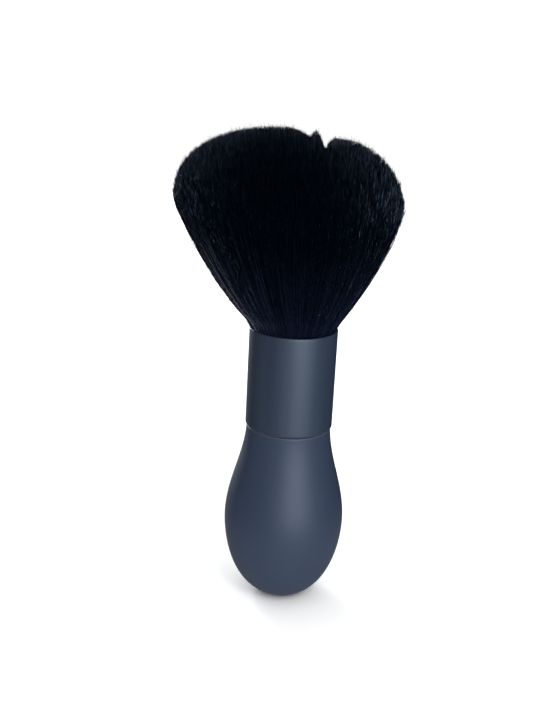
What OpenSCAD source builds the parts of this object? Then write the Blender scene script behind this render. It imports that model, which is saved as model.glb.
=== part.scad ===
// Neck duster brush: a domed bristle tuft in a metal ferrule on an egg-shaped soft-touch grip.
// Millimetres. The brush stands on its foot at z = 0, with its axis along +Z and its front at -Y.

/* [Grip] */
// Height of the grip, from the foot to the ferrule's lower edge
grip_h = 69.7; // [66:0.1:74]
// Radius of the grip where it meets the ferrule
grip_top_r = 16; // [15.8:0.1:16.4]
// Radius of the grip at its widest ring
grip_max_r = 23.1; // [22.5:0.1:26]
// Height of the widest ring above the foot
grip_max_z = 31.3; // [30:0.1:34]
// Radius of the flat foot
foot_r = 7.8; // [6.5:0.1:9]
// Thickness of the soft-touch skin
skin_t = 1.2; // [1:0.1:1.4]
// Wall thickness of the hollow core under the skin
core_t = 2.6; // [2:0.1:3]
// Height of the shadow gap between the skin and the ferrule
seam_gap = 0.4; // [0.2:0.1:0.8]

/* [Ferrule] */
// Outside radius of the ferrule
ferrule_r = 16.5; // [16.3:0.1:17]
// Length of the ferrule
ferrule_h = 38.4; // [37:0.1:44]
// Wall thickness of the ferrule
ferrule_t = 1; // [0.8:0.1:1.1]
// How far the lower edge turns in
turn_in = 0.5; // [0.3:0.1:0.5]
// Height over which the lower edge turns in
turn_in_h = 2.5; // [2:0.1:3]

/* [Tuft] */
// Height of the tuft above the ferrule's rim
tuft_h = 71.9; // [66:0.1:78]
// Radius of the tuft where it leaves the ferrule
tuft_root_r = 15.1; // [14.6:0.1:15.2]
// Reach of the tuft's left side from the axis
tuft_left = 45.5; // [38:0.1:48]
// Height of the left side's widest point above the rim
tuft_left_z = 47.4; // [44:0.1:50]
// Reach of the tuft's right side from the axis
tuft_right = 36.6; // [34:0.1:46]
// Height of the right side's widest point above the rim
tuft_right_z = 45.4; // [42:0.1:48]
// Sideways place of the crown, left of the axis
crown_shift = 11.7; // [0:0.1:14]

/* [Partings] */
// Sideways place of the small parting from the axis
small_parting_x = 1.7; // [0:0.1:2.5]
// Height of the small parting's keel above the rim
small_parting_z = 69.3; // [66:0.1:70]
// Sideways place of the large parting from the axis
large_parting_x = 7.9; // [7:0.1:12]
// Height of the large parting's keel above the rim
large_parting_z = 66.3; // [60:0.1:68]
// Opening angle of both partings, in degrees
parting_angle = 62; // [40:1:70]
// Slope of the keels, which rise to the front, in degrees
keel_slope = 6.4; // [0:0.1:10]

/* [Balance weight] */
// Radius of the steel slug in the grip's base
weight_r = 10.5; // [8:0.1:11]
// Height of the steel slug
weight_h = 13; // [8:0.1:14]

/* [Hidden] */

// Clearance between pieces that are glued, pressed or moulded together
fit_gap = 0.05;
// Steps along each stretch of an outline, and along an arc
curve_steps = 24;
arc_steps = 8;

// Main heights
rim_z = grip_h + ferrule_h;
skin_top_z = grip_h - seam_gap;
skin_lip_r = 0.4;

// Handle core: the lap joint at its widest ring, its collar and its spigot
lap_h = 4;
lap_r = grip_max_r - skin_t - fit_gap - core_t / 2;
collar_r = grip_top_r - 0.4;
spigot_r = ferrule_r - ferrule_t - turn_in - 0.2;
spigot_t = 2.2;
spigot_h = 13;

// Pocket for the balance weight
pocket_z = 4.8;
pocket_r = weight_r + 0.1;
pocket_wall_t = 1.8;
retainer_t = 1.5;
weight_chamfer = 0.8;

// Fillings of the ferrule, as heights above its lower edge
bond_z = 3;
bond_h = 9;
dam_t = 1.2;
plug_z = spigot_h + dam_t;
plug_h = 10.8;
plug_floor_t = 2.8;
root_r = 13.9;
binding_z = 26.2;
cord_r = 0.5;
cord_turns = 4;
bore_r = ferrule_r - ferrule_t;

// Tuft mesh
tuft_sides = 64;
tuft_rows = 18;

// Points and slopes on a cubic curve with the four control points p, and the curve as a list
function bez(p, t) = pow(1 - t, 3) * p[0] + 3 * t * pow(1 - t, 2) * p[1]
    + 3 * t * t * (1 - t) * p[2] + pow(t, 3) * p[3];
function bez_slope(p, t) = 3 * pow(1 - t, 2) * (p[1] - p[0]) + 6 * t * (1 - t) * (p[2] - p[1])
    + 3 * t * t * (p[3] - p[2]);
function curve(p, n) = [for (i = [0:n]) bez(p, i / n)];

// A curve that runs downwards, moved towards the axis by d along its normals
function inset_point(p, t, d) =
    let (v = bez_slope(p, t)) bez(p, t) - d * [-v[1], v[0]] / norm(v);
function inset_curve(p, d) = [for (i = [0:curve_steps]) inset_point(p, i / curve_steps, d)];

// An arc about c from angle a0 to a1
function arc(c, r, a0, a1) = [for (i = [0:arc_steps])
    let (a = a0 + (a1 - a0) * i / arc_steps) c + r * [cos(a), sin(a)]];

function reversed(list) = [for (i = [len(list) - 1:-1:0]) list[i]];

// Grip outline: the flare from the ferrule down to the widest ring, and the egg below it
flare = [
    [grip_top_r, skin_top_z],
    [grip_top_r + 0.45, grip_h - 0.36 * (grip_h - grip_max_z)],
    [grip_max_r, grip_max_z + 0.356 * (grip_h - grip_max_z)],
    [grip_max_r, grip_max_z]
];
egg = [
    [grip_max_r, grip_max_z],
    [grip_max_r, 0.752 * grip_max_z],
    [0.896 * grip_max_r, 0.169 * grip_max_z],
    [foot_r, 0]
];

// Depths of the core's outside and of its cavity under the grip's outline
core_in = skin_t + fit_gap;
cavity_in = skin_t + fit_gap + core_t;

// Solids of revolution
module turned(outline) rotate_extrude($fn = 128) polygon(outline);

// Seamless soft-touch skin: a cup that covers the whole core, foot included
module grip_skin() {
    outside = concat(inset_curve(flare, 0), inset_curve(egg, 0));
    inside = concat(inset_curve(flare, skin_t), inset_curve(egg, skin_t));
    inside_top = [grip_top_r - skin_t, skin_top_z];
    lip = arc([grip_top_r - skin_lip_r, skin_top_z - skin_lip_r], skin_lip_r, 90, 0);
    color([0.27, 0.31, 0.37])
    turned(concat(
        lip,
        [for (p = outside) if (p[1] < skin_top_z - skin_lip_r) p],
        [[0, 0], [0, inside[len(inside) - 1][1]]],
        reversed([for (p = inside) if (p[1] < skin_top_z - skin_lip_r) p]),
        [inside_top]
    ));
}

// Lower half of the core: a cup with the weight's pocket, rebated for the upper half's tongue
module handle_core_lower() {
    outside = inset_curve(egg, core_in);
    inside = inset_curve(egg, cavity_in);
    wall_r = pocket_r + pocket_wall_t;
    pocket_top = pocket_z + weight_h + retainer_t;
    lap_z = grip_max_z - lap_h;
    cup = reversed([for (p = inside) if (p[0] > wall_r && p[1] < lap_z - fit_gap) p]);
    color([0.16, 0.17, 0.19])
    turned(concat(
        outside,
        [[0, outside[len(outside) - 1][1]], [0, pocket_z]],
        [[pocket_r, pocket_z], [pocket_r, pocket_top], [wall_r, pocket_top], [wall_r, cup[0][1]]],
        cup,
        [[lap_r + fit_gap, lap_z - fit_gap], [lap_r + fit_gap, grip_max_z]]
    ));
}

// Upper half of the core: a shoulder with a tongue below, a collar and the hollow spigot above
module handle_core_upper() {
    outside = inset_curve(flare, core_in);
    inside = inset_curve(flare, cavity_in);
    neck_r = grip_top_r - core_in;
    bore = spigot_r - spigot_t;
    tongue_r = inside[len(inside) - 1][0];
    color([0.16, 0.17, 0.19])
    turned(concat(
        [[bore, grip_h + spigot_h], [spigot_r, grip_h + spigot_h], [spigot_r, grip_h]],
        [[collar_r, grip_h], [collar_r, skin_top_z], [neck_r, skin_top_z]],
        [for (p = outside) if (p[1] < skin_top_z - skin_lip_r) p],
        [[lap_r, grip_max_z], [lap_r, grip_max_z - lap_h], [tongue_r, grip_max_z - lap_h]],
        reversed([for (p = inside) if (p[0] > bore + 0.1) p]),
        [[bore, grip_h - core_t - seam_gap]]
    ));
}

// Turned steel slug that keeps the brush upright
module balance_weight() {
    color([0.62, 0.63, 0.64])
    translate([0, 0, pocket_z])
    turned([
        [0, 0], [weight_r - weight_chamfer, 0], [weight_r, weight_chamfer],
        [weight_r, weight_h - weight_chamfer], [weight_r - weight_chamfer, weight_h], [0, weight_h]
    ]);
}

// Push-in disc that closes the pocket
module weight_retainer() {
    color([0.75, 0.74, 0.70])
    translate([0, 0, pocket_z + weight_h])
    cylinder(r = pocket_r - fit_gap, h = retainer_t, $fn = 128);
}

// Drawn metal sleeve with an inward rolled lip and a turned-in lower edge
module ferrule() {
    lip_r = 0.6;
    lip_c = [ferrule_r - lip_r, rim_z - lip_r];
    straight_z = grip_h + turn_in_h;
    lower = [
        [ferrule_r - turn_in, grip_h],
        [ferrule_r - turn_in, grip_h + 0.35 * turn_in_h],
        [ferrule_r, straight_z - 0.5 * turn_in_h],
        [ferrule_r, straight_z]
    ];
    inward = [-ferrule_t, 0];
    color([0.28, 0.32, 0.39])
    turned(concat(
        curve(lower, arc_steps),
        arc(lip_c, lip_r, 0, 180),
        [[ferrule_r - ferrule_t, rim_z - 3 * lip_r]],
        reversed([for (p = curve(lower, arc_steps)) p + inward])
    ));
}

// Cured glue between the spigot and the ferrule
module bond_ring() {
    color([0.80, 0.74, 0.55])
    translate([0, 0, grip_h + bond_z])
    turned([
        [spigot_r + fit_gap, 0], [bore_r - fit_gap, 0],
        [bore_r - fit_gap, bond_h], [spigot_r + fit_gap, bond_h]
    ]);
}

// Disc on the spigot that keeps the wet resin out of the handle
module resin_dam() {
    color([0.70, 0.62, 0.48])
    translate([0, 0, grip_h + spigot_h])
    cylinder(r = bore_r - fit_gap, h = dam_t, $fn = 128);
}

// Cast resin cup around the roots of the bristles
module resin_plug() {
    color([0.62, 0.50, 0.26])
    translate([0, 0, grip_h + plug_z])
    turned([
        [0, 0], [bore_r - fit_gap, 0], [bore_r - fit_gap, plug_h],
        [root_r + fit_gap, plug_h], [root_r + fit_gap, plug_floor_t], [0, plug_floor_t]
    ]);
}

// Cord wound tightly round the bundle just above the resin, its turns touching
module root_binding() {
    pitch = 1.9 * cord_r;
    centre_r = root_r + fit_gap + cord_r;
    color([0.86, 0.84, 0.78])
    translate([0, 0, grip_h + binding_z])
    turned(concat(
        [[root_r + fit_gap, (cord_turns - 1) * pitch], [root_r + fit_gap, 0]],
        [for (i = [0:cord_turns - 1]) each arc([centre_r, i * pitch], cord_r, -70, 70)]
    ));
}

// Left and right edges of the tuft in its own X-Z plane, above the rim: a flank, then the crown
tuft_flank_left = [
    [-tuft_root_r, 0], [-tuft_root_r - 16.4, 15.2],
    [-tuft_left, tuft_left_z - 2.8], [-tuft_left, tuft_left_z]
];
tuft_flank_right = [
    [tuft_root_r, 0], [tuft_root_r + 11.5, 16.4],
    [tuft_right, tuft_right_z - 6.2], [tuft_right, tuft_right_z]
];
tuft_crown_left = [
    [-tuft_left, tuft_left_z], [-tuft_left - 0.6, tuft_left_z + 14.8],
    [-crown_shift - 20, tuft_h - 0.8], [-crown_shift, tuft_h]
];
tuft_crown_right = [
    [tuft_right, tuft_right_z], [tuft_right - 0.6, tuft_right_z + 14.2],
    [-crown_shift + 36.5, tuft_h + 1.5], [-crown_shift, tuft_h]
];

// One ring of the tuft: a circle whose diameter runs from point a to point b of the X-Z plane
function ring(a, b) = [for (i = [0:tuft_sides - 1])
    let (q = 360 * i / tuft_sides, c = (a + b) / 2, h = (b - a) / 2)
    [c[0] + h[0] * cos(q), norm(h) * sin(q), c[1] + h[1] * cos(q)]];
function stretch(left, right, from_row) = [for (i = [from_row:tuft_rows])
    ring(bez(left, i / tuft_rows), bez(right, i / tuft_rows))];

// Straight root bundle inside the ferrule, then the flanks, then the crown up to its pole
root_low = plug_z + plug_floor_t - ferrule_h;
root_high = binding_z + cord_turns * 2 * cord_r - ferrule_h;
tuft_rings = concat(
    [ring([-root_r, root_low], [root_r, root_low])],
    [ring([-root_r, root_high], [root_r, root_high])],
    stretch(tuft_flank_left, tuft_flank_right, 0),
    [for (i = [1:tuft_rows - 1])
        ring(bez(tuft_crown_left, i / tuft_rows), bez(tuft_crown_right, i / tuft_rows))]
);

// Closed skin over the rings, with a fan at the root and one at the pole
module tuft_body() {
    n = tuft_sides;
    rows = len(tuft_rings);
    points = concat([for (r = tuft_rings) each r], [[0, 0, root_low], [-crown_shift, 0, tuft_h]]);
    root_pole = rows * n;
    top_pole = root_pole + 1;
    walls = [for (k = [0:rows - 2], i = [0:n - 1]) let (j = (i + 1) % n)
        each [[k * n + i, (k + 1) * n + i, (k + 1) * n + j], [k * n + i, (k + 1) * n + j, k * n + j]]];
    root_fan = [for (i = [0:n - 1]) [root_pole, i, (i + 1) % n]];
    top_fan = [for (i = [0:n - 1]) [top_pole, (rows - 1) * n + (i + 1) % n, (rows - 1) * n + i]];
    polyhedron(points, concat(walls, root_fan, top_fan));
}

// Parting through the crown: a long wedge with its keel at a height above the rim on the axis
module parting(x, keel_z) {
    wedge_h = 14;
    half_w = wedge_h * tan(parting_angle / 2);
    translate([x, 0, keel_z])
    rotate([90 - keel_slope, 0, 0])
    linear_extrude(3 * tuft_left, center = true)
    polygon([[0, 0], [half_w, wedge_h], [-half_w, wedge_h]]);
}

// Bundle of bristles that flares out of the ferrule to a dome leaning to the left
module bristle_tuft() {
    color([0.03, 0.03, 0.045])
    translate([0, 0, rim_z])
    difference() {
        tuft_body();
        parting(small_parting_x, small_parting_z);
        parting(large_parting_x, large_parting_z);
    }
}

grip_skin();
handle_core_lower();
handle_core_upper();
balance_weight();
weight_retainer();
ferrule();
bond_ring();
resin_dam();
resin_plug();
root_binding();
bristle_tuft();
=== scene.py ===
"""Looks of the neck duster brush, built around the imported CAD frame. Everything is in metres."""

import math

import bpy
import numpy as np
from mathutils import Matrix, Vector


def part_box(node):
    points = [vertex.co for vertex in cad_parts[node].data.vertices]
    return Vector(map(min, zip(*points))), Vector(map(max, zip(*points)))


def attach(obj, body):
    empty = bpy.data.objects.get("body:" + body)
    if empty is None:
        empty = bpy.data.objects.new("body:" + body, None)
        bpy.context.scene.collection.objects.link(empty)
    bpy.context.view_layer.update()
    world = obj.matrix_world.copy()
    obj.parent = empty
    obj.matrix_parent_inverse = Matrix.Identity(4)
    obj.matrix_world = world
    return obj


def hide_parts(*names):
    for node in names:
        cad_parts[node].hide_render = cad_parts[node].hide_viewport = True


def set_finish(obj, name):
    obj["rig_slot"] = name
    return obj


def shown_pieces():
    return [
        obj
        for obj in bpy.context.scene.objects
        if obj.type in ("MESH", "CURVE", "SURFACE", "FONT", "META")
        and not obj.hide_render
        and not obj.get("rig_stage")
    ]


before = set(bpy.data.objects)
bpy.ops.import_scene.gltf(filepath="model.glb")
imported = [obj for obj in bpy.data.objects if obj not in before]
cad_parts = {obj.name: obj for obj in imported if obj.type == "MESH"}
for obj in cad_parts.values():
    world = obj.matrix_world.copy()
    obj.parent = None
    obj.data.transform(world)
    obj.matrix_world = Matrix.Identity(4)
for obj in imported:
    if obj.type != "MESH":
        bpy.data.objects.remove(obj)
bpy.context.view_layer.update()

MM = 0.001

# Heights and reaches that the frame gives
foot_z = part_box("grip_skin")[0].z
seam_z, rim_z = (corner.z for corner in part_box("ferrule"))
ferrule_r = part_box("ferrule")[1].x
tuft_low, tuft_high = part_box("bristle_tuft")
tuft_left, tuft_right = -tuft_low.x, tuft_high.x
tuft_height = tuft_high.z - rim_z


# ---------------------------------------------------------------- camera

# The camera looks at the middle of the ferrule from in front and above
CAMERA_DISTANCE = 0.400
CAMERA_RISE = math.radians(18.6)
CAMERA_YAW = math.radians(-1.39)
CAMERA_PITCH = math.radians(1.01)
CAMERA_ROLL = math.radians(3.25)
CAMERA_LENS = 53.7


def turned_pair(a, b, angle):
    """The two axes a and b turned towards each other by an angle in their own plane."""
    return a * math.cos(angle) + b * math.sin(angle), b * math.cos(angle) - a * math.sin(angle)


def make_camera():
    target = Vector((0, 0, (seam_z + rim_z) / 2))
    back = Vector((0, -math.cos(CAMERA_RISE), math.sin(CAMERA_RISE)))
    ahead, right = -back, Vector((1, 0, 0))
    up = right.cross(ahead)
    ahead, right = turned_pair(ahead, right, CAMERA_YAW)
    ahead, up = turned_pair(ahead, up, CAMERA_PITCH)
    right, up = turned_pair(right, up, CAMERA_ROLL)
    data = bpy.data.cameras.new("camera")
    data.lens = CAMERA_LENS
    data.clip_start, data.clip_end = 0.01, 20
    camera = bpy.data.objects.new("camera", data)
    axes = Matrix((right, up, -ahead)).transposed()
    camera.matrix_world = Matrix.Translation(target + back * CAMERA_DISTANCE) @ axes.to_4x4()
    bpy.context.scene.collection.objects.link(camera)
    bpy.context.scene.camera = camera


make_camera()


# ---------------------------------------------------------------- meshes

def make_object(name, vertices, faces):
    """A smooth-shaded object from vertices and faces, linked to the scene."""
    mesh = bpy.data.meshes.new(name)
    mesh.from_pydata([tuple(v) for v in vertices], [], faces)
    mesh.polygons.foreach_set("use_smooth", [True] * len(mesh.polygons))
    mesh.update()
    piece = bpy.data.objects.new(name, mesh)
    bpy.context.scene.collection.objects.link(piece)
    return piece


def lathe(name, outline, sides=256):
    """A closed solid of revolution from an outline of (radius, height) points, both ends on the axis or
    the outline closed on itself."""
    closed = outline[0] != outline[-1] and outline[0][0] > 0
    rows = outline if closed else outline[1:-1]
    vertices = [
        (r * math.cos(2 * math.pi * i / sides), r * math.sin(2 * math.pi * i / sides), z)
        for r, z in rows for i in range(sides)
    ]
    count = len(rows)
    pairs = [(k, (k + 1) % count) for k in range(count if closed else count - 1)]
    faces = [
        (a * sides + i, a * sides + (i + 1) % sides, b * sides + (i + 1) % sides, b * sides + i)
        for a, b in pairs for i in range(sides)
    ]
    if not closed:
        first, last = len(vertices), len(vertices) + 1
        vertices += [(0, 0, outline[0][1]), (0, 0, outline[-1][1])]
        top = (count - 1) * sides
        faces += [(first, (i + 1) % sides, i) for i in range(sides)]
        faces += [(last, top + i, top + (i + 1) % sides) for i in range(sides)]
    return make_object(name, vertices, faces)


def bezier(p, t):
    """Points at the parameters t on the cubic curve with four control points, one row for each t."""
    t = np.asarray(t, float)[:, None]
    p = [np.asarray(q, float) for q in p]
    return (1 - t) ** 3 * p[0] + 3 * t * (1 - t) ** 2 * p[1] + 3 * t * t * (1 - t) * p[2] + t ** 3 * p[3]


def arc(centre, radius, start, end, steps):
    """Points on an arc, angles in degrees."""
    angles = [math.radians(start + (end - start) * i / steps) for i in range(steps + 1)]
    return [(centre[0] + radius * math.cos(a), centre[1] + radius * math.sin(a)) for a in angles]


def place(piece, slot, material, *nodes):
    """Puts a piece in the frame: its body, its material and the CAD nodes that it stands for."""
    piece.data.materials.append(material)
    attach(piece, "root")
    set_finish(piece, slot)
    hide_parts(*nodes)


# ---------------------------------------------------------------- materials

class Paint:
    """A Principled material with a few short calls for the nodes that feed it."""

    def __init__(self, name, roughness=0.5, metallic=0.0, specular=0.5, coords="Object"):
        self.material = bpy.data.materials.new(name)
        self.material.use_nodes = True
        self.tree = self.material.node_tree
        self.shader = self.tree.nodes["Principled BSDF"]
        self.coords = self.tree.nodes.new("ShaderNodeTexCoord").outputs[coords]
        self.set("Roughness", roughness)
        self.set("Metallic", metallic)
        self.set("Specular IOR Level", specular)

    def set(self, socket, value):
        """Feeds a shader input from a node's output, or gives it a value."""
        if isinstance(value, bpy.types.NodeSocket):
            self.tree.links.new(value, self.shader.inputs[socket])
        else:
            self.shader.inputs[socket].default_value = value

    def node(self, kind, **values):
        """A new node; each value names an input or a property, and a socket is linked."""
        node = self.tree.nodes.new(kind)
        for name, value in values.items():
            if name.startswith("in_"):
                key = name[3:]
                socket = node.inputs[int(key) if key.isdigit() else key.replace("_", " ")]
                if isinstance(value, bpy.types.NodeSocket):
                    self.tree.links.new(value, socket)
                else:
                    socket.default_value = value
            else:
                setattr(node, name, value)
        return node

    def stretched(self, scale):
        """The object coordinates, scaled by three factors."""
        return self.node("ShaderNodeMapping", in_Vector=self.coords, in_Scale=scale).outputs["Vector"]

    def noise(self, scale, detail=4.0, rough=0.5, vector=None):
        node = self.node("ShaderNodeTexNoise", in_Vector=vector or self.coords, in_Scale=scale)
        node.inputs["Detail"].default_value = detail
        node.inputs["Roughness"].default_value = rough
        return node.outputs["Fac"]

    def between(self, factor, low, high, start=0.3, end=0.7):
        """A number that goes from low to high as the factor goes from start to end."""
        return self.node("ShaderNodeMapRange", in_Value=factor, in_1=start, in_2=end,
                         in_3=low, in_4=high).outputs["Result"]

    def blend(self, factor, colour_a, colour_b):
        """Colour a where the factor is 0 and colour b where it is 1."""
        node = self.node("ShaderNodeMix", data_type="RGBA", in_0=factor)
        for index, colour in ((6, colour_a), (7, colour_b)):
            if isinstance(colour, bpy.types.NodeSocket):
                self.tree.links.new(colour, node.inputs[index])
            else:
                node.inputs[index].default_value = (*colour, 1)
        return node.outputs[2]

    def bump(self, height, distance, strength=1.0):
        """Raises the surface by a height pattern, over a distance in metres."""
        node = self.node("ShaderNodeBump", in_Height=height, in_Distance=distance, in_Strength=strength)
        self.set("Normal", node.outputs["Normal"])


HIGHLIGHT_TINT = (0.72, 0.84, 1.0, 1)
SLATE_DARK, SLATE_LIGHT = (0.0112, 0.0208, 0.0480), (0.0136, 0.0242, 0.0540)
# The second colour on the next line is not a colour of the lacquer: it is a painted highlight for the lip's
# top edge
SLATE_SPECK, SLATE_LIP_HIGHLIGHT = (0.0165, 0.0280, 0.0580), (0.062, 0.071, 0.090)
DYE_DARK, DYE_LIGHT = (0.0082, 0.0168, 0.0370), (0.0098, 0.0198, 0.0430)
DYE_SPECK = (0.0130, 0.0235, 0.0480)
FIBRE_DARK, FIBRE_LIGHT = (0.0001, 0.0017, 0.0044), (0.0004, 0.0027, 0.0072)
# The root colour is painted light: a lighter navy for the light that reaches the lower tuft from below
FIBRE_ROOT_PAINTED_LIGHT = (0.0058, 0.0096, 0.0245)
PAPER_DARK, PAPER_LIGHT = (0.93, 0.93, 0.93), (0.95, 0.95, 0.95)


def soft_touch_material():
    """Matte rubbery lacquer: fine even grain, faint mottling and a satin sheen, with a painted highlight
    along the lip.
    """
    paint = Paint("soft_touch", specular=0.80)
    paint.set("Specular Tint", HIGHLIGHT_TINT)
    dark, light, speck, lip_highlight = SLATE_DARK, SLATE_LIGHT, SLATE_SPECK, SLATE_LIP_HIGHLIGHT
    mottling = paint.blend(paint.noise(90, detail=5), dark, light)
    grain = paint.noise(2600, detail=3, rough=0.6)
    lacquer = paint.blend(paint.between(grain, 0.0, 0.5), mottling, speck)
    height = paint.node("ShaderNodeSeparateXYZ", in_0=paint.coords).outputs[2]
    # The lip's edge is painted paler over its top few tenths of a millimetre: a painted highlight for the
    # light line that the lip catches
    highlight_low, highlight_high = seam_z - SEAM_GAP - 0.40 * MM, seam_z - SEAM_GAP - 0.10 * MM
    on_lip = paint.between(height, 0.0, 1.0, highlight_low, highlight_high)
    paint.set("Base Color", paint.blend(on_lip, lacquer, lip_highlight))
    handling = paint.noise(35, detail=3)
    paint.set("Roughness", paint.between(handling, 0.52, 0.58))
    paint.bump(grain, 0.03 * MM, 0.6)
    return paint.material


def ferrule_material():
    """Dyed aluminium, bead-blasted, with the faint lengthwise lines of the drawn tube under the finish."""
    paint = Paint("satin_ferrule", specular=0.95)
    paint.set("IOR", 1.6)
    paint.set("Specular Tint", HIGHLIGHT_TINT)
    drawn = paint.noise(260, detail=3, vector=paint.stretched((1, 1, 0.06)))
    dye = paint.blend(drawn, DYE_DARK, DYE_LIGHT)
    blasted = paint.noise(2600, detail=3, rough=0.6)
    paint.set("Base Color", paint.blend(paint.between(blasted, 0.0, 0.5), dye, DYE_SPECK))
    paint.set("Roughness", paint.between(drawn, 0.47, 0.53))
    paint.bump(blasted, 0.025 * MM, 0.6)
    return paint.material


def bristle_material():
    """Crimped synthetic fibre, near black, painted a lighter navy towards the root as painted light from
    below. The map holds each bristle's tone and the place along it.
    """
    paint = Paint("bristle_fibre", specular=0.22, coords="UV")
    paint.set("Specular Tint", (0.45, 0.63, 1.0, 1))
    tone, along, _ = paint.node("ShaderNodeSeparateXYZ", in_0=paint.coords).outputs
    body = paint.blend(tone, FIBRE_DARK, FIBRE_LIGHT)
    # Towards the root the fibre is painted lighter, as painted light from below
    near_root = paint.between(along, 1.0, 0.0, 0.0, 0.75)
    navy = paint.blend(near_root, body, FIBRE_ROOT_PAINTED_LIGHT)
    paint.set("Base Color", navy)
    paint.set("Roughness", paint.between(tone, 0.26, 0.40, 0.0, 1.0))
    return paint.material


def core_shadow_material():
    """Packed bristles deep in the tuft, seen only as darkness between the outer ones."""
    paint = Paint("packed_bristles", specular=0.05, roughness=0.9)
    strands = paint.noise(700, detail=2, vector=paint.stretched((1, 1, 0.08)))
    paint.set("Base Color", paint.blend(strands, (0.0004, 0.0006, 0.0014), (0.0022, 0.0026, 0.0050)))
    paint.bump(strands, 0.3 * MM)
    return paint.material


def moulded_plastic_material(name, dark, light):
    """Moulded plastic with an eroded tool texture and faint flow marks."""
    paint = Paint(name, specular=0.45)
    flow = paint.noise(60, detail=4, vector=paint.stretched((1, 1, 3)))
    paint.set("Base Color", paint.blend(flow, dark, light))
    paint.set("Roughness", paint.between(flow, 0.55, 0.68))
    paint.bump(paint.noise(2200, detail=3), 0.02 * MM, 0.6)
    return paint.material


def turned_steel_material():
    """Turned steel: fine tool rings round the axis and a thin film of oil."""
    paint = Paint("turned_steel", metallic=1.0)
    rings = paint.node("ShaderNodeTexWave", wave_type="RINGS", rings_direction="Z", in_Vector=paint.coords,
                       in_Scale=900.0, in_Distortion=0.6).outputs["Fac"]
    film = paint.noise(70)
    paint.set("Base Color", paint.blend(film, (0.50, 0.50, 0.49), (0.60, 0.60, 0.61)))
    paint.set("Roughness", paint.between(film, 0.28, 0.42))
    paint.bump(rings, 0.01 * MM)
    return paint.material


def resin_material(name, dark, light):
    """Cured resin with cloudy streaks and small bubbles."""
    paint = Paint(name, specular=0.5)
    clouds = paint.noise(180, detail=6)
    paint.set("Base Color", paint.blend(clouds, dark, light))
    bubbles = paint.node("ShaderNodeTexVoronoi", in_Vector=paint.coords, in_Scale=900.0).outputs["Distance"]
    paint.set("Roughness", paint.between(clouds, 0.16, 0.30))
    paint.bump(paint.between(bubbles, 0, 1, 0.0, 0.35), 0.05 * MM)
    return paint.material


def fibre_board_material():
    """Pressed fibre board: flecks and a felted surface."""
    paint = Paint("fibre_board", specular=0.2, roughness=0.9)
    flecks = paint.noise(1400, detail=6, rough=0.7, vector=paint.stretched((1, 0.4, 1)))
    board = paint.blend(paint.between(flecks, 0, 1), (0.16, 0.11, 0.06), (0.33, 0.25, 0.16))
    paint.set("Base Color", board)
    paint.bump(flecks, 0.06 * MM)
    return paint.material


def cord_material():
    """Twisted cotton cord: slanting strands and loose fuzz."""
    paint = Paint("binding_cord", specular=0.15, roughness=0.9)
    twist = paint.node("ShaderNodeTexWave", wave_type="BANDS", bands_direction="DIAGONAL",
                       in_Vector=paint.coords, in_Scale=420.0, in_Distortion=1.5).outputs["Fac"]
    fuzz = paint.noise(2600, detail=4)
    colour = paint.blend(twist, (0.42, 0.38, 0.30), (0.62, 0.58, 0.50))
    paint.set("Base Color", paint.blend(paint.between(fuzz, 0, 0.4), colour, (0.30, 0.26, 0.20)))
    paint.bump(twist, 0.1 * MM)
    return paint.material


# ---------------------------------------------------------------- grip and ferrule

FOOT_R = 7.8 * MM
GRIP_TOP_R = 16.0 * MM
GRIP_WIDEST = 31.3 * MM
SEAM_GAP = 0.2 * MM
SKIN_T = 1.2 * MM
FERRULE_T = 1.0 * MM


def grip_outline():
    """Skin's outside from the foot up to its lip, then its inside back down to the axis."""
    widest_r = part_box("grip_skin")[1].x
    upper_h = seam_z - foot_z - GRIP_WIDEST
    widest_z = foot_z + GRIP_WIDEST
    egg = [(FOOT_R, foot_z), (0.896 * widest_r, foot_z + 0.169 * GRIP_WIDEST),
           (widest_r, foot_z + 0.752 * GRIP_WIDEST), (widest_r, widest_z)]
    flare = [(widest_r, widest_z), (widest_r, widest_z + 0.356 * upper_h),
             (GRIP_TOP_R + 0.45 * MM, seam_z - 0.36 * upper_h), (GRIP_TOP_R, seam_z - SEAM_GAP)]
    steps = np.linspace(0, 1, 65)
    wall = np.vstack([bezier(egg, steps), bezier(flare, steps)[1:]])
    slope = np.gradient(wall, axis=0)
    outward = np.stack([slope[:, 1], -slope[:, 0]], axis=1) / np.linalg.norm(slope, axis=1)[:, None]
    inside = wall - SKIN_T * outward
    # The foot's edge and the lip are rounded over a few tenths of a millimetre
    edge, lip = 0.7 * MM, 0.45 * MM
    foot_edge = bezier([
        (FOOT_R - edge, foot_z), (FOOT_R - 0.35 * edge, foot_z),
        (FOOT_R + 0.30 * edge, foot_z + 0.13 * edge), (FOOT_R + 0.7 * edge, foot_z + 0.32 * edge)
    ], np.linspace(0, 1, 7))
    skin_top = seam_z - SEAM_GAP
    outer = [tuple(p) for p in foot_edge]
    outer += [tuple(p) for p in wall if p[0] > FOOT_R + 1.1 * edge or p[1] > foot_z + 2 * MM]
    outer = [p for p in outer if p[1] < skin_top - lip]
    rounded = arc((GRIP_TOP_R - lip, skin_top - lip), lip, 0, 90, 6)
    inner = [(GRIP_TOP_R - SKIN_T, skin_top)]
    inner += [tuple(p) for p in inside[::-1] if p[1] < skin_top - lip]
    floor_rows = [(f * FOOT_R, foot_z) for f in (0.0, 0.35, 0.7)]
    return floor_rows + outer + rounded + inner + [(0.0, inner[-1][1])]


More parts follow.
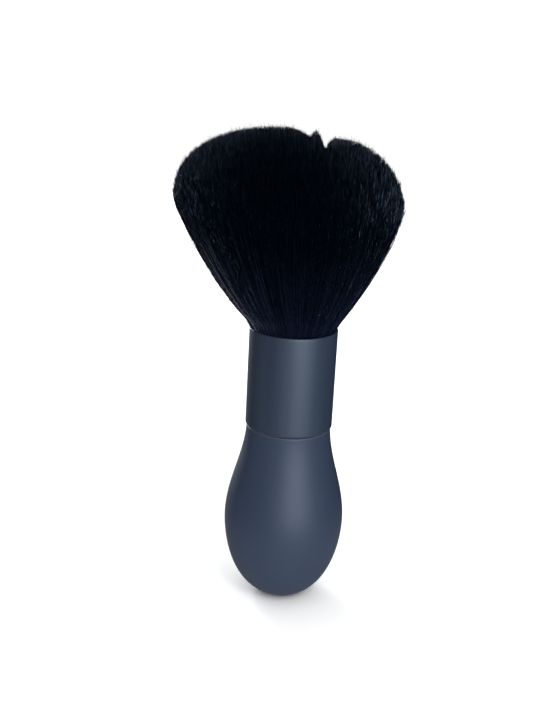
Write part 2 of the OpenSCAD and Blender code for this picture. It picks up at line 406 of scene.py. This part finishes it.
def ferrule_outline():
    """The sleeve's wall all round: outside up, over the rolled lip, and down the inside."""
    wall_t, lip_r, edge = FERRULE_T, 0.5 * MM, 0.12 * MM
    # The lower edge is turned in towards the grip
    turn_in, turn_in_h = 0.42 * MM, 0.8 * MM
    low_r = ferrule_r - turn_in
    turn = bezier([
        (low_r, seam_z + edge), (low_r, seam_z + 0.35 * turn_in_h),
        (ferrule_r, seam_z + 0.5 * turn_in_h), (ferrule_r, seam_z + turn_in_h)
    ], np.linspace(0, 1, 15))
    straight = [(ferrule_r, z) for z in np.linspace(seam_z + turn_in_h, rim_z - lip_r, 38)[1:]]
    lip = arc((ferrule_r - lip_r, rim_z - lip_r), lip_r, 0, 180, 14)[1:]
    inner_r = ferrule_r - wall_t
    inside = [(inner_r, z) for z in np.linspace(rim_z - 3 * lip_r, seam_z + turn_in_h, 24)[:-1]]
    inside += [(r - wall_t, z) for r, z in turn[::-1]]
    foot = arc((low_r - edge, seam_z + edge), edge, -90, 0, 5)
    return [(low_r - wall_t, seam_z)] + foot[:-1] + [tuple(p) for p in turn] + straight + lip + inside[:-1]


place(lathe("grip_shell", grip_outline()), "soft_touch", soft_touch_material(), "grip_skin")
place(lathe("ferrule_sleeve", ferrule_outline()), "ferrule_metal", ferrule_material(), "ferrule")


# ---------------------------------------------------------------- shape of the tuft

TUFT_ROOT_R = 15.1 * MM
LEFT_TURN_Z, RIGHT_TURN_Z = 47.4 * MM, 45.4 * MM
CROWN_SHIFT = 11.7 * MM
BUNDLE_R = 13.9 * MM
KEEL_SLOPE = math.tan(math.radians(6.4))
PARTING_EDGE = 3.0 * MM
# Each cut's place across the tuft, its keel's height above the rim on the axis, and how steeply its
# walls rise to the left and to the right. The first two are the partings, and the third only flattens
# the crown to the right of them.
PARTINGS = (
    (2.0 * MM, 69.4 * MM, 0.70, 1.9),
    (7.6 * MM, 64.4 * MM, 2.6, 2.4),
    (9.6 * MM, 69.6 * MM, 1.0, 0.1),
)

# Edges of the tuft in the X-Z plane, from the rim up: a flank and then the crown on each side
flank_left = np.array([
    (-TUFT_ROOT_R, 0), (-TUFT_ROOT_R - 16.4 * MM, 15.2 * MM),
    (-tuft_left, LEFT_TURN_Z - 2.8 * MM), (-tuft_left, LEFT_TURN_Z)])
flank_right = np.array([
    (TUFT_ROOT_R, 0), (TUFT_ROOT_R + 11.5 * MM, 16.4 * MM),
    (tuft_right, RIGHT_TURN_Z - 6.2 * MM), (tuft_right, RIGHT_TURN_Z)])
crown_left = np.array([
    (-tuft_left, LEFT_TURN_Z), (-tuft_left - 0.6 * MM, LEFT_TURN_Z + 14.8 * MM),
    (-CROWN_SHIFT - 20 * MM, tuft_height - 0.8 * MM), (-CROWN_SHIFT, tuft_height)])
crown_right = np.array([
    (tuft_right, RIGHT_TURN_Z), (tuft_right - 0.6 * MM, RIGHT_TURN_Z + 14.2 * MM),
    (-CROWN_SHIFT + 36.5 * MM, tuft_height + 1.5 * MM), (-CROWN_SHIFT, tuft_height)])


def on_rings(left, right, angle):
    """Points at the angles given on circles whose diameters run from left to right in the X-Z plane."""
    centre, half = (left + right) / 2, (right - left) / 2
    depth = np.linalg.norm(half, axis=-1)
    return np.stack([
        centre[..., 0] + half[..., 0] * np.cos(angle), depth * np.sin(angle),
        centre[..., 1] + half[..., 1] * np.cos(angle)], axis=-1)


def on_flank(angle, t):
    return on_rings(bezier(flank_left, t), bezier(flank_right, t), angle)


def on_crown(angle, t):
    return on_rings(bezier(crown_left, t), bezier(crown_right, t), angle)


def cut_partings(points, depth=0.0):
    """Lowers the points that stand in a cut to its walls, or to a depth below them, over a soft edge."""
    for x, keel, left, right in PARTINGS:
        away = points[:, 0] - x
        wall = keel - points[:, 1] * KEEL_SLOPE + np.maximum(-left * away, right * away) - depth
        share = np.clip(0.5 + 0.5 * (wall - points[:, 2]) / PARTING_EDGE, 0, 1)
        points[:, 2] = wall * (1 - share) + points[:, 2] * share - PARTING_EDGE * share * (1 - share)
    return points


def unit(vectors):
    return vectors / np.maximum(np.linalg.norm(vectors, axis=-1, keepdims=True), 1e-12)


def make_core():
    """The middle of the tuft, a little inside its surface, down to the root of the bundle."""
    sides, rows = 192, 48
    shrink_r, shrink_z = 0.94, 0.962
    parting_depth = 3.2 * MM
    angle = np.tile(np.arange(sides) * 2 * math.pi / sides, rows)
    steps = np.repeat(np.arange(rows) / (rows - 1), sides)
    flank = on_flank(angle, steps) * (shrink_r, shrink_r, shrink_z)
    crown = on_crown(angle, np.minimum(steps, 1 - 0.5 / rows))[sides:] * (shrink_r, shrink_r, shrink_z)
    crown = cut_partings(crown, parting_depth)
    circle = np.arange(sides) * 2 * math.pi / sides
    root_low = tuft_low.z - rim_z
    bundle = np.stack([0.97 * BUNDLE_R * np.cos(circle), 0.97 * BUNDLE_R * np.sin(circle)], axis=1)
    below = [np.column_stack([bundle, np.full(sides, z)]) for z in (root_low, root_low + 4 * MM)]
    poles = [(0, 0, root_low), (-CROWN_SHIFT, 0, tuft_height * shrink_z)]
    vertices = np.vstack([*below, flank, crown, poles])
    count = (len(vertices) - 2) // sides
    faces = [
        (k * sides + i, k * sides + (i + 1) % sides, (k + 1) * sides + (i + 1) % sides, (k + 1) * sides + i)
        for k in range(count - 1) for i in range(sides)]
    faces += [(count * sides, (i + 1) % sides, i) for i in range(sides)]
    top = (count - 1) * sides
    faces += [(count * sides + 1, top + i, top + (i + 1) % sides) for i in range(sides)]
    return make_object("tuft_core", vertices + (0, 0, rim_z), faces)


# ---------------------------------------------------------------- bristles

SEED = 20
CROWN_BRISTLES = 24000
FLANK_BRISTLES = 3600
STRAY_BRISTLES = 3600
KINKED_BRISTLES = 3200
# Bristles to a clump
CROWN_CLUMP, FLANK_CLUMP = 12, 14
BRISTLE_R = 0.12 * MM
INNER_LIFT, INNER_REACH = 8 * MM, 25 * MM
rng = np.random.default_rng(SEED)


def bristle_paths(angle, depth, tip, start, rows):
    """Centrelines, from the share start of the length to the tip. depth is 1 on the tuft's surface and 0 on
    its axis, and the tips are points on the crown. Towards the axis the bristles bend higher up, and
    their last control point but one lies INNER_REACH before the tip."""
    knots = [on_rings(left, right, angle) for left, right in zip(flank_left, flank_right)]
    share = depth[:, None]
    root = knots[0] * share
    bend = knots[1] * share
    bend[:, 2] = knots[1][:, 2] + (1 - depth) * INNER_LIFT
    outer = share ** 2
    heading = unit((1 - outer) * unit(tip - bend) + outer * unit(knots[3] - knots[2]))
    outer_reach = np.linalg.norm(knots[3] - knots[2], axis=1)[:, None]
    reach = (1 - outer) * INNER_REACH + outer * outer_reach
    shoulder = tip - heading * reach
    t = np.linspace(0, 1, rows)[None, :] * (1 - start[:, None]) + start[:, None]
    t = t[..., None]
    root, bend, shoulder, tip = (p[:, None, :] for p in (root, bend, shoulder, tip))
    u = 1 - t
    paths = u ** 3 * root + 3 * t * u ** 2 * bend + 3 * t * t * u * shoulder + t ** 3 * tip
    return paths, t[..., 0]


def gather(paths, along, tips, clump_count, pull):
    """Draws the bristles of each clump together towards their tips, and says which clump each is in."""
    middles = rng.choice(len(tips), clump_count, replace=False)
    nearest = np.empty(len(tips), int)
    for part in np.array_split(np.arange(len(tips)), max(1, len(tips) // 2000)):
        gaps = np.linalg.norm(tips[part, None, :] - tips[None, middles, :], axis=2)
        nearest[part] = gaps.argmin(axis=1)
    towards = tips[middles][nearest] - tips
    strength = pull * rng.uniform(0.5, 1.0, clump_count)[nearest]
    paths += towards[:, None, :] * (strength[:, None] * along ** 3)[..., None]
    return nearest


def crimp(paths, along, size, waves):
    """Two slow sideways waves on each bristle, none of them at its root."""
    count = len(paths)
    for axis in range(3):
        phase = rng.uniform(0, 2 * math.pi, (count, 1))
        turns = rng.uniform(0.6, 1.4, (count, 1)) * waves
        paths[..., axis] += size * along * np.sin(2 * math.pi * turns * along + phase)


def bristle_mesh(name, paths, radius, along, tones):
    """Closed three-sided tubes, tapering at their tips, as one mesh. Its map holds tone and place along."""
    count, rows, _ = paths.shape
    ahead = unit(np.gradient(paths, axis=1))
    outward = np.arctan2(paths[:, -1, 1], paths[:, -1, 0])
    sideways = np.stack([-np.sin(outward), np.cos(outward), 0 * outward], axis=1)[:, None, :]
    sideways = unit(sideways - (sideways * ahead).sum(axis=2, keepdims=True) * ahead)
    other = np.cross(ahead, sideways)
    spin = rng.uniform(0, 2 * math.pi, (count, 1, 1)) + np.arange(3) * 2 * math.pi / 3
    taper = np.interp(along, (0, 0.9, 1), (1, 1, 0.35))
    size = (radius[:, None] * taper)[..., None, None]
    across, spin = sideways[:, :, None, :], spin[..., None]
    ring = np.cos(spin) * across + np.sin(spin) * other[:, :, None, :]
    vertices = (paths[:, :, None, :] + size * ring).reshape(-1, 3) + (0, 0, rim_z)
    base = np.arange(count)[:, None, None] * rows * 3
    step = base + np.arange(rows - 1)[None, :, None] * 3
    j, k = np.arange(3), (np.arange(3) + 1) % 3
    quads = np.stack([step + j, step + k, step + 3 + k, step + 3 + j], axis=-1).reshape(-1, 4)
    ends = base[:, 0, :] + np.array([[0, 2, 1]])
    tips = base[:, 0, :] + (rows - 1) * 3 + np.array([[0, 1, 2]])
    loops = np.concatenate([quads.ravel(), ends.ravel(), tips.ravel()])
    starts = np.concatenate([np.arange(len(quads)) * 4, len(quads) * 4 + np.arange(2 * count) * 3])
    mesh = bpy.data.meshes.new(name)
    mesh.vertices.add(len(vertices))
    mesh.vertices.foreach_set("co", vertices.astype(np.float32).ravel())
    mesh.loops.add(len(loops))
    mesh.loops.foreach_set("vertex_index", loops.astype(np.int32))
    mesh.polygons.add(len(starts))
    mesh.polygons.foreach_set("loop_start", starts.astype(np.int32))
    mesh.polygons.foreach_set("use_smooth", np.arange(len(starts)) < len(quads))
    mesh.uv_layers.new(name="OFBake").data.foreach_set("uv", tone_map(tones, along, rows))
    mesh.update(calc_edges=True)
    piece = bpy.data.objects.new(name, mesh)
    bpy.context.scene.collection.objects.link(piece)
    return piece


def tone_map(tones, along, rows):
    """Texture coordinates for every face corner: across is the bristle's tone, up is its place along."""
    count, width = len(tones), 0.02
    low = (tones * (1 - width))[:, None, None]
    left = low + width / 3 * np.arange(3)
    left = np.broadcast_to(left, (count, rows - 1, 3))
    right = left + width / 3
    below = np.broadcast_to(along[:, :-1, None], left.shape)
    above = np.broadcast_to(along[:, 1:, None], left.shape)
    quads = np.stack([left, below, right, below, right, above, left, above], axis=-1)
    x = np.stack([low[:, 0, 0], low[:, 0, 0] + width, low[:, 0, 0] + width / 2], axis=1)
    caps = [np.stack([x, np.stack([v, v, v + lift], axis=1)], axis=-1)
            for v, lift in ((along[:, 0], 0.01), (along[:, -1], -0.01))]
    return np.concatenate([quads.ravel(), caps[0].ravel(), caps[1].ravel()]).astype(np.float32)


def scatter_on_crown(count):
    """Angles and heights on the crown that spread the tips evenly over its area."""
    across, up = 96, 160
    angle, t = np.meshgrid((np.arange(across) + 0.5) / across * 2 * math.pi, (np.arange(up) + 0.5) / up)
    angle, t = angle.ravel(), t.ravel()
    step = 1e-3
    rise = on_crown(angle, t + step) - on_crown(angle, t - step)
    turn = on_crown(angle + step, t) - on_crown(angle - step, t)
    area = np.linalg.norm(np.cross(rise, turn), axis=1)
    cell = rng.choice(len(area), count, p=area / area.sum())
    angle = angle[cell] + rng.uniform(-0.5, 0.5, count) * 2 * math.pi / across
    return angle, np.clip(t[cell] + rng.uniform(-0.5, 0.5, count) / up, 0, 1)


def depth_of(t):
    """How far from the axis the bristles that end at the height t on the crown lie in the bundle."""
    reach = np.linalg.norm(bezier(crown_right, t) - bezier(crown_left, t), axis=1)
    return reach / np.linalg.norm(crown_right[0] - crown_left[0])


def make_crown_bristles(material):
    """The bristles that end on the crown, over their last part, in four pieces."""
    angle, t = scatter_on_crown(CROWN_BRISTLES)
    tips = cut_partings(on_crown(angle, t))
    uneven, uneven_length = 0.2 * MM, 0.25 * MM
    tips += rng.normal(0, uneven, tips.shape) + unit(tips) * rng.normal(0, uneven_length, (len(tips), 1))
    depth = depth_of(t)
    # The outer ones start at many heights and sink into the tuft there, so their ends make no line round it
    spread = 0.26 * depth ** 4 * rng.uniform(0, 1, CROWN_BRISTLES) ** 1.4
    start = 0.80 - 0.12 * depth - spread
    paths, along = bristle_paths(angle, depth, tips, start, 5)
    paths[:, 0, :2] *= 0.95
    clump = gather(paths, along, tips, CROWN_BRISTLES // CROWN_CLUMP, 0.12)
    crimp(paths, along, 0.05 * MM, 3.0)
    tones = 0.55 * rng.uniform(0, 1, clump.max() + 1)[clump] + 0.45 * rng.uniform(0, 1, len(tips))
    radius = BRISTLE_R * rng.uniform(0.8, 1.15, len(tips))
    quarter = (np.mod(angle, 2 * math.pi) // (math.pi / 2)).astype(int)
    for index, side in enumerate(("back_right", "back_left", "front_left", "front_right")):
        mine = quarter == index
        piece = bristle_mesh("crown_bristles_" + side, paths[mine], radius[mine], along[mine], tones[mine])
        place(piece, "bristles", material, "bristle_tuft")


def make_flank_bristles(material):
    """The bristles that show along the flanks, over their whole length, in two pieces."""
    count = FLANK_BRISTLES
    angle = rng.uniform(0, 2 * math.pi, count)
    # Most end low on the crown, and a little inside its surface
    highest, deepest = 0.36, 0.07
    t = highest * rng.uniform(0, 1, count) ** 2.2
    under = deepest * rng.uniform(0, 1, count) ** 1.3
    depth = depth_of(t) - under
    tips = on_crown(angle, t) * (1 - under[:, None] * (1, 1, 0))
    tips[:, 2] += rng.normal(0, 1.2 * MM, count) - 0.5 * MM
    paths, along = bristle_paths(angle, depth, tips, np.zeros(count), 16)
    clump = gather(paths, along, tips, count // FLANK_CLUMP, 0.40)
    crimp(paths, along, 0.14 * MM, 3.5)
    # Their roots are hidden inside the ferrule
    paths[:, 0, :] = paths[:, 1, :] * (0.80, 0.80, 0)
    paths[:, 0, 2] = -3 * MM
    tones = 0.5 * rng.uniform(0, 1, clump.max() + 1)[clump] + 0.5 * rng.uniform(0, 1, count)
    radius = BRISTLE_R * rng.uniform(0.85, 1.25, count)
    at_back = np.sin(angle) >= 0
    for name, mine in (("flank_bristles_back", at_back), ("flank_bristles_front", ~at_back)):
        piece = bristle_mesh(name, paths[mine], radius[mine], along[mine], tones[mine])
        place(piece, "bristles", material, "bristle_tuft")


def make_kinked_bristles(material):
    """Short kinked lengths that work loose from the flanks and catch the light."""
    count, rows = KINKED_BRISTLES, 4
    angle = rng.uniform(0, 2 * math.pi, count)
    t = rng.uniform(0.14, 0.93, count)
    surface = on_flank(angle, t)
    ahead = unit(on_flank(angle, t + 0.01) - surface)
    sideways = np.stack([-np.sin(angle), np.cos(angle), 0 * angle], axis=1)
    outward = np.cross(sideways, ahead)
    lean = rng.normal(0, 0.45, (count, 1))
    lift = rng.normal(0.08, 0.28, (count, 1))
    heading = unit(ahead + lean * sideways + lift * outward)
    length = rng.uniform(0.9, 2.4, (count, 1)) * MM
    along = np.broadcast_to(np.linspace(0, 1, rows), (count, rows))
    middle = surface + outward * rng.uniform(-0.30, 0.25, (count, 1)) * MM
    height = outward * rng.uniform(0.05, 0.35, length.shape) * MM
    bow = (np.sin(math.pi * along) - 0.6)[..., None] * height[:, None, :]
    paths = middle[:, None, :] + (along[..., None] - 0.5) * (length * heading)[:, None, :] + bow
    radius = np.full(count, 0.8 * BRISTLE_R)
    piece = bristle_mesh("kinked_bristles", paths, radius, along, rng.uniform(0, 0.35, count))
    place(piece, "bristles", material, "bristle_tuft")


def make_stray_bristles(material):
    """Fine bristles that stand out past the crown and soften its edge."""
    angle, t = scatter_on_crown(STRAY_BRISTLES)
    outward = unit(on_crown(angle, t))
    tips = cut_partings(on_crown(angle, t)) + outward * rng.uniform(0.2, 1.5, (len(t), 1)) * MM
    tips += rng.normal(0, 0.35 * MM, tips.shape)
    paths, along = bristle_paths(angle, depth_of(t), tips, np.full(STRAY_BRISTLES, 0.75), 7)
    crimp(paths, along, 0.30 * MM, 4.0)
    radius = np.full(len(t), 0.52 * BRISTLE_R)
    piece = bristle_mesh("stray_bristles", paths, radius, along, rng.uniform(0, 1, len(t)))
    place(piece, "bristles", material, "bristle_tuft")


place(make_core(), "bristles", core_shadow_material(), "bristle_tuft")
fibre = bristle_material()
make_crown_bristles(fibre)
make_flank_bristles(fibre)
make_kinked_bristles(fibre)
make_stray_bristles(fibre)


# ---------------------------------------------------------------- inner pieces carried over from the CAD

INNER_MATERIALS = {
    "handle_core_lower": moulded_plastic_material(
        "core_plastic_lower", (0.018, 0.020, 0.026), (0.026, 0.029, 0.036)),
    "handle_core_upper": moulded_plastic_material(
        "core_plastic_upper", (0.006, 0.008, 0.012), (0.010, 0.012, 0.018)),
    "balance_weight": turned_steel_material(),
    "weight_retainer": moulded_plastic_material("retainer_plastic", (0.30, 0.30, 0.29), (0.38, 0.38, 0.36)),
    "bond_ring": resin_material("cured_glue", (0.45, 0.36, 0.20), (0.58, 0.48, 0.30)),
    "resin_dam": fibre_board_material(),
    "resin_plug": resin_material("cast_resin", (0.28, 0.14, 0.05), (0.42, 0.24, 0.09)),
    "root_binding": cord_material(),
}
for node_name, material in INNER_MATERIALS.items():
    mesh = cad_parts[node_name].data
    mesh.materials.clear()
    mesh.materials.append(material)


# ---------------------------------------------------------------- stage and light

def stage_material():
    """Pale matte paper with a trace of unevenness."""
    paint = Paint("studio_paper", specular=0.0, roughness=0.9)
    paint.set("Base Color", paint.blend(paint.noise(3, detail=2), PAPER_DARK, PAPER_LIGHT))
    return paint.material


def make_stage():
    """A wide round floor. It shows to the camera and lights the brush, and leaves no reflection in it."""
    floor_r, floor_t = 12.0, 0.02
    # A ring just inside the edge keeps the smooth shading level up to there
    rim = floor_r - 0.05
    outline = [(0, -floor_t), (floor_r, -floor_t), (floor_r, 0), (rim, 0), (1.0, 0), (0.2, 0), (0, 0)]
    stage = lathe("studio_floor", outline, sides=96)
    stage.data.materials.append(stage_material())
    stage.visible_glossy = False
    stage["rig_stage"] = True
    return stage


def add_light(name, data, where, turn, watts, colour, only):
    """A light that the camera can't see and that falls on the pieces of one collection alone."""
    data.energy = watts
    data.color = colour
    light = bpy.data.objects.new(name, data)
    light.location = where
    light.rotation_euler = turn
    light.visible_camera = False
    light.light_linking.receiver_collection = only
    bpy.context.scene.collection.objects.link(light)
    light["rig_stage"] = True


def strip_light(name, azimuth, elevation, distance, size, watts, colour, only):
    """A softbox that faces the brush. Azimuth is counted to the right from the front."""
    middle = Vector((0, 0, 0.09))
    turn, rise = math.radians(azimuth), math.radians(elevation)
    flat = math.cos(rise)
    away = Vector((math.sin(turn) * flat, -math.cos(turn) * flat, math.sin(rise)))
    data = bpy.data.lights.new(name, "AREA")
    data.shape = "RECTANGLE"
    data.size, data.size_y = size
    facing = away.to_track_quat("Z", "Y").to_euler()
    add_light(name, data, middle + away * distance, facing, watts, colour, only)


def floor_light(name, x, y, width, watts, colour, only):
    """Stands for the reflection of a part of the floor: a disc just above it that faces up."""
    data = bpy.data.lights.new(name, "AREA")
    data.shape = "DISK"
    data.size = width
    add_light(name, data, (x, y, 1 * MM), (math.pi, 0, 0), watts, colour, only)


def pieces_named(group, *slots):
    """A collection of the pieces in the given slots, for the lights that fall on them alone."""
    chosen = bpy.data.collections.new(group)
    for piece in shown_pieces():
        if piece.get("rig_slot") in slots:
            chosen.objects.link(piece)
    return chosen


def make_light(floor):
    """Softboxes for the highlights and small lights for what the floor would reflect. Each call of
    strip_light gives azimuth, elevation, distance, size, watts, colour and the pieces that it lights."""
    tuft = pieces_named("lit_tuft", "bristles")
    grip = pieces_named("lit_grip", "soft_touch")
    ferrule = pieces_named("lit_ferrule", "ferrule_metal")
    handle = pieces_named("lit_handle", "soft_touch", "ferrule_metal")
    handle_and_floor = pieces_named("lit_handle_and_floor", "soft_touch", "ferrule_metal")
    handle_and_floor.objects.link(floor)
    strip_light("key_high", 23, 45, 1.2, (0.36, 0.5), 4.2, (1.0, 1.0, 1.0), handle_and_floor)
    strip_light("ferrule_key", 23, 5, 1.2, (0.80, 0.12), 9.3, (0.96, 0.98, 1.0), ferrule)
    strip_light("grip_key", 23, 3, 1.2, (0.90, 0.05), 8.8, (1.0, 0.98, 0.97), grip)
    strip_light("tuft_key", 23, 5, 1.2, (0.40, 0.18), 3.0, (0.50, 0.68, 1.0), tuft)
    strip_light("left_rim", -150, 10, 1.2, (0.12, 0.8), 15.0, (0.94, 0.97, 1.0), handle_and_floor)
    strip_light("ferrule_rim", -140, -3, 1.2, (0.16, 0.10), 1.0, (0.94, 0.97, 1.0), ferrule)
    strip_light("tuft_rim", -162, 10, 1.2, (0.20, 0.8), 16.0, (0.75, 0.87, 1.0), tuft)
    floor_light("foot_bounce", 0, 0, 0.20, 0.031, (0.98, 0.97, 0.97), handle)
    strip_light("left_kicker", -112, 5, 0.45, (0.10, 0.40), 1.6, (0.62, 0.78, 1.0), tuft)
    strip_light("right_kicker", 112, 5, 0.45, (0.10, 0.40), 1.6, (0.62, 0.78, 1.0), tuft)
    floor_light("left_floor", -0.125, 0.105, 0.15, 0.11, (0.85, 0.91, 1.0), tuft)
    floor_light("right_floor", 0.170, 0.160, 0.12, 0.045, (0.80, 0.88, 1.0), tuft)


def make_surround():
    """White from all round, which leaves no reflection in the brush."""
    world = bpy.data.worlds.new("studio")
    world.use_nodes = True
    background = world.node_tree.nodes["Background"].inputs
    background["Color"].default_value = (1.0, 1.0, 1.0, 1)
    background["Strength"].default_value = 1.10
    world.cycles_visibility.glossy = False
    bpy.context.scene.world = world
    bpy.context.scene.view_settings.view_transform = "Standard"


make_light(make_stage())
make_surround()
